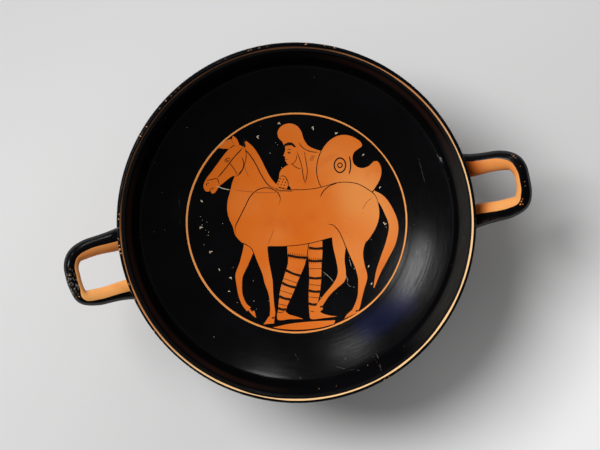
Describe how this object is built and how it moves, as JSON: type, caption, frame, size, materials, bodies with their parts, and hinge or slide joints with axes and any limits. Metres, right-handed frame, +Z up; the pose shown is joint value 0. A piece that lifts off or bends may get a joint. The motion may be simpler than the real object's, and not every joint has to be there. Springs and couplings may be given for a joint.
{
  "type": "kylix drinking cup",
  "caption": "Wide shallow wheel-thrown wine cup with a set-off lip, loop handles on either side, a short stem, a disc foot and a round painted picture inside.",
  "frame": {"origin": "centre of the underside of the foot, on the plane that the cup rests on", "axes": "+Z up along the axis of the bowl and stem; X along the two handles; the horse in the painted picture faces -X and its hooves are towards -Y"},
  "size_m": [0.3693, 0.28, 0.1169],
  "materials": {
    "fired_clay": "black slip gloss over orange clay, semi-gloss"
  },
  "bodies": {
    "root": {"kylix": "fired_clay"}
  },
  "joints": []
}
